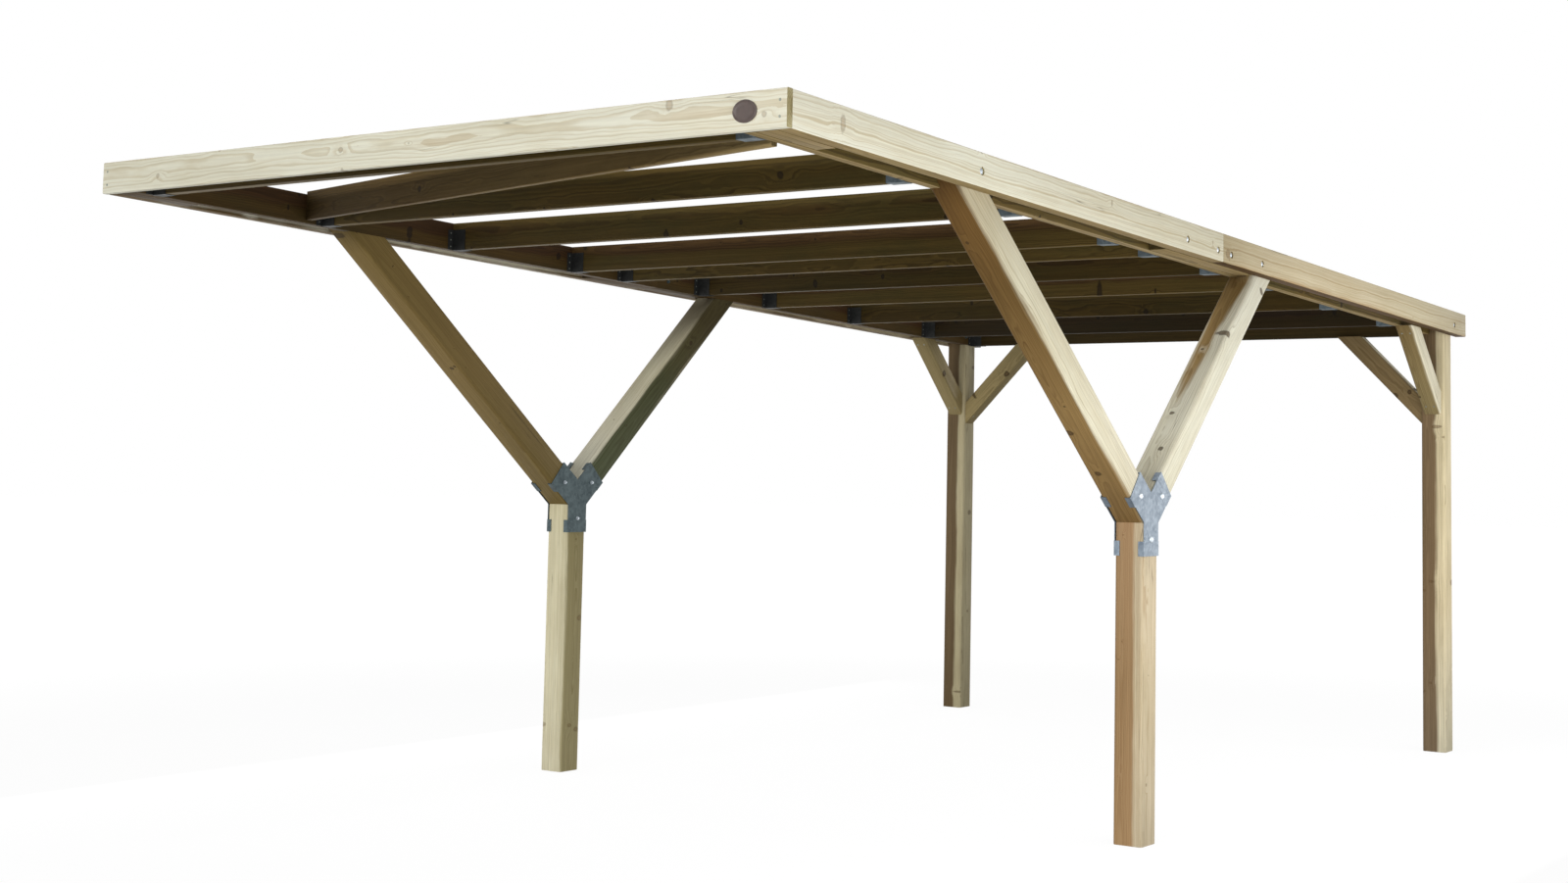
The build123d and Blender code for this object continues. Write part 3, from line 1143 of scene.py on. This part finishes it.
# Screws and nails: flat-headed screws, two at each end of the fascia and four to each knee
# brace, and nails in the wings of all the joist hangers but the front pair. Zinc-plated
# steel, driven until the heads stand less than a millimetre proud.
dull_screw = galvanised("zinc_plated_screw", "#8f9488", "#6c7068", 0.45)
fascia_screw_inset = 0.026
fascia_screw_shares = (0.28, 0.7)
knee_screw_shares = (0.09, 0.91)
knee_screw_offsets = (-0.022, 0.022)
hanger_sheet = 0.002
nail_out = 0.015
nail_rises = (0.015, 0.045, 0.075)


def screw_head(radius, proud, sides):
    """A flat head with a shallow recess, looking along +X, its middle at the origin."""
    bpy.ops.object.select_all(action="DESELECT")
    bpy.ops.mesh.primitive_cylinder_add(
        vertices=sides, radius=radius, depth=2 * proud, location=(0, 0, 0)
    )
    head = bpy.context.object
    for polygon in head.data.polygons:
        polygon.select = polygon.normal.z > 0.9
    bpy.ops.object.mode_set(mode="EDIT")
    bpy.ops.mesh.select_mode(type="FACE")
    bpy.ops.mesh.inset(thickness=radius * 0.16)
    bpy.ops.transform.translate(value=(0, 0, proud * 0.2))
    bpy.ops.mesh.inset(thickness=radius * 0.4)
    bpy.ops.transform.translate(value=(0, 0, -proud * 0.9))
    bpy.ops.object.mode_set(mode="OBJECT")
    head.data.transform(Matrix.Rotation(math.radians(90), 4, "Y"))
    return head


screw_pattern = screw_head(radius=0.0048, proud=0.0008, sides=16)
fascia_middle_x = (cad_low.x + cad_high.x) / 2
fascia_height = fascia_high.z - fascia_low.z
fascia_screws = []
for way in (-1, 1):
    for share in fascia_screw_shares:
        screw_x = fascia_middle_x + way * (outer_face - fascia_screw_inset)
        screw_z = fascia_low.z + fascia_height * share
        fascia_screws.append(((screw_x, fascia_low.y, screw_z), (0, -1, 0)))
set_out(screw_pattern, "fascia_screws", fascia_screws, dull_screw)
knee_screws = []
for side, way in (("right", 1), ("left", -1)):
    low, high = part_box(f"{side}_forward_knee")
    middle_x = (low.x + high.x) / 2
    for share in knee_screw_shares:
        for across in knee_screw_offsets:
            back_y = high.y + (low.y - high.y) * share
            rise_z = low.z + (high.z - low.z) * share
            knee_screws.append(((middle_x + across, back_y, rise_z), (0, -1, -1)))
    low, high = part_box(f"{side}_inward_knee")
    middle_y = (low.y + high.y) / 2
    near_x = high.x if way > 0 else low.x
    far_x = low.x if way > 0 else high.x
    for share in knee_screw_shares:
        for across in knee_screw_offsets:
            inward_x = near_x + (far_x - near_x) * share
            rise_z = low.z + (high.z - low.z) * share
            knee_screws.append(((inward_x, middle_y + across, rise_z), (-way, 0, -1)))
set_out(screw_pattern, "knee_screws", knee_screws, dull_screw)
nail_head = screw_head(radius=0.0035, proud=0.0006, sides=8)
for side, way in (("right", 1), ("left", -1)):
    inner = 0 if way > 0 else 1
    wing_x = way * (abs(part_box(f"{side}_inner_beam_front")[inner].x) - hanger_sheet)
    nails = []
    for joist in joists[1:]:
        low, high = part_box(joist)
        for nail_y in (low.y - nail_out, high.y + nail_out):
            for rise in nail_rises:
                nails.append(((wing_x, nail_y, low.z + rise), (-way, 0, 0)))
    set_out(nail_head, f"{side}_hanger_nails", nails, dull_screw)
for pattern in (screw_pattern, nail_head):
    bpy.data.objects.remove(pattern)

# Badge: a plain oval plaque on the fascia, bare of any mark. Moulded dark brown plastic
# with a raised rim and a fine stipple.
badge_low, badge_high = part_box("fascia_badge")
badge_middle = (badge_low + badge_high) / 2
badge_size = badge_high - badge_low
rim_width = 0.0045
rim_slope = 0.0012
face_depth = 0.0018
face_margin = 0.012
badge_ease = 0.0009
bpy.ops.object.select_all(action="DESELECT")
bpy.ops.mesh.primitive_cylinder_add(
    vertices=48,
    radius=1,
    depth=2,
    location=badge_middle,
    rotation=(math.radians(90), 0, 0),
    scale=(badge_size.x / 2, badge_size.z / 2, badge_size.y / 2),
)
badge = bpy.context.object
badge.name = "plain_badge"
bpy.ops.object.transform_apply(location=True, rotation=True, scale=True)
for polygon in badge.data.polygons:
    polygon.select = polygon.normal.y < -0.9
bpy.ops.object.mode_set(mode="EDIT")
bpy.ops.mesh.select_mode(type="FACE")
bpy.ops.mesh.inset(thickness=rim_width)
bpy.ops.mesh.inset(thickness=rim_slope)
bpy.ops.transform.translate(value=(0, face_depth, 0))
bpy.ops.mesh.inset(thickness=face_margin)
bpy.ops.object.mode_set(mode="OBJECT")
edge = badge.modifiers.new("edge", "BEVEL")
edge.width = badge_ease
edge.segments = 2
edge.limit_method = "ANGLE"
edge.angle_limit = math.radians(35)
bpy.ops.object.modifier_apply(modifier="edge")
bpy.ops.object.shade_smooth_by_angle(angle=math.radians(35))
badge_plastic, tree = new_material("moulded_brown_plastic")
place = add(tree, "TexCoord").outputs["Object"]
stipple = add(tree, "TexNoise", {"Vector": place, "Scale": 900, "Detail": 2}).outputs[0]
cloud = add(tree, "TexNoise", {"Vector": place, "Scale": 60, "Detail": 3}).outputs[0]
colour = add(
    tree, "Mix", {0: cloud, 6: linear("#382c28"), 7: linear("#54443d")}, data_type="RGBA"
).outputs[2]
bump = add(tree, "Bump", {"Strength": 0.4, "Distance": 0.0003, "Height": stipple}).outputs[0]
surface = add(
    tree, "BsdfPrincipled", {"Base Color": colour, "Roughness": 0.42, "Normal": bump}
)
add(tree, "OutputMaterial", {"Surface": surface.outputs[0]})
badge.data.materials.clear()
badge.data.materials.append(badge_plastic)
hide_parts("fascia_badge")
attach(badge, "root")

# Floor: a plain pale ground, not part of the object. It shows white far out, and within
# 4 m a little of the matt ground comes through, so that the shadow of the posts shows.
bpy.ops.object.select_all(action="DESELECT")
bpy.ops.mesh.primitive_plane_add(size=120, location=(0, 0, 0))
floor = bpy.context.object
floor.name = "floor"
floor_white, tree = new_material("pale_floor")


def seen_by_camera(tree):
    """1 where the camera sees a surface, straight, mirrored or through glass, and else 0."""
    path = add(tree, "LightPath")
    seen = add(
        tree,
        "Math",
        {0: path.outputs["Is Camera Ray"], 1: path.outputs["Is Glossy Ray"]},
        operation="MAXIMUM",
    ).outputs[0]
    return add(
        tree, "Math", {0: seen, 1: path.outputs["Is Transmission Ray"]}, operation="MAXIMUM"
    ).outputs[0]


seen = seen_by_camera(tree)
ground = add(
    tree, "Mix", {0: seen, 6: linear("#8e8e8e"), 7: linear("#ffffff")}, data_type="RGBA"
).outputs[2]
matt = add(tree, "BsdfDiffuse", {"Color": ground})
glow = add(tree, "Emission", {"Color": (1, 1, 1, 1), "Strength": 1.01})
place = add(tree, "TexCoord").outputs["Object"]
distance = add(tree, "VectorMath", {0: place}, operation="LENGTH").outputs["Value"]
plain = add(
    tree,
    "MapRange",
    {"Value": distance, 1: 4, 2: 8, 3: 0.93, 4: 1},
    interpolation_type="SMOOTHSTEP",
).outputs[0]
share = add(tree, "Math", {0: seen, 1: plain}, operation="MULTIPLY").outputs[0]
mixed = add(tree, "MixShader", {0: share, 1: matt.outputs[0], 2: glow.outputs[0]})
add(tree, "OutputMaterial", {"Surface": mixed.outputs[0]})
floor.data.materials.append(floor_white)
floor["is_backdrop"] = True

# Light: a white studio that gives little light itself, a long soft box in front and one
# behind, a low one close to each side and a large one overhead.
world = bpy.data.worlds.new("studio")
bpy.context.scene.world = world
world.use_nodes = True
tree = world.node_tree
tree.nodes.clear()
studio_light = add(tree, "Background", {"Color": (1, 1, 1, 1), "Strength": 0.06})
backdrop = add(tree, "Background", {"Color": (1, 1, 1, 1), "Strength": 1.0})
seen = seen_by_camera(tree)
studio = add(tree, "MixShader", {0: seen, 1: studio_light.outputs[0], 2: backdrop.outputs[0]})
add(tree, "OutputWorld", {"Surface": studio.outputs[0]})


def soft_box(name, centre, aim, width, height, power):
    """A plain white soft box that the camera doesn't see."""
    lamp = bpy.data.lights.new(name, "AREA")
    lamp.shape = "RECTANGLE"
    lamp.size = width
    lamp.size_y = height
    lamp.energy = power
    holder = bpy.data.objects.new(name, lamp)
    bpy.context.scene.collection.objects.link(holder)
    holder.location = centre
    holder.rotation_euler = (Vector(aim) - Vector(centre)).to_track_quat("-Z", "Y").to_euler()
    holder.visible_camera = False
    return holder


soft_box("front_strip", (0, -27, 4.0), (0, 0, 4.0), 16, 1.9, 4600)
soft_box("back_strip", (0, 27, 2.4), (0, 0, 2.4), 12, 2.0, 2200)
soft_box("right_box", (2.95, -0.7, 1.3), (0, -0.7, 1.3), 9, 2.4, 135)
soft_box("left_box", (-2.7, 0, 1.2), (0, 0, 1.2), 8, 2.4, 60)
soft_box("top_box", (0, 0, 14), (0, 0, 0), 5, 9, 780)

# Camera: from the front right, low, a little above the tops of the front posts, with a
# normal lens and its view shifted a little to frame the object.
camera = bpy.data.cameras.new("camera")
camera.sensor_width = 36
camera.lens = 47.143
camera.shift_x = -0.0539
camera.shift_y = -0.0882
holder = bpy.data.objects.new("camera", camera)
bpy.context.scene.collection.objects.link(holder)
holder.location = (5.2053, -7.9456, 1.4287)
heading = 0.596287
pitch = 0.082036
roll = 0.018184
level_right = Vector((math.cos(heading), math.sin(heading), 0))
ahead = Vector(
    (-math.sin(heading) * math.cos(pitch), math.cos(heading) * math.cos(pitch), math.sin(pitch))
)
level_up = level_right.cross(ahead)
right = level_right * math.cos(roll) + level_up * math.sin(roll)
up = level_up * math.cos(roll) - level_right * math.sin(roll)
holder.rotation_euler = Matrix((right, up, -ahead)).transposed().to_euler()
bpy.context.scene.camera = holder
bpy.context.scene.view_settings.view_transform = "Standard"

low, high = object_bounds()
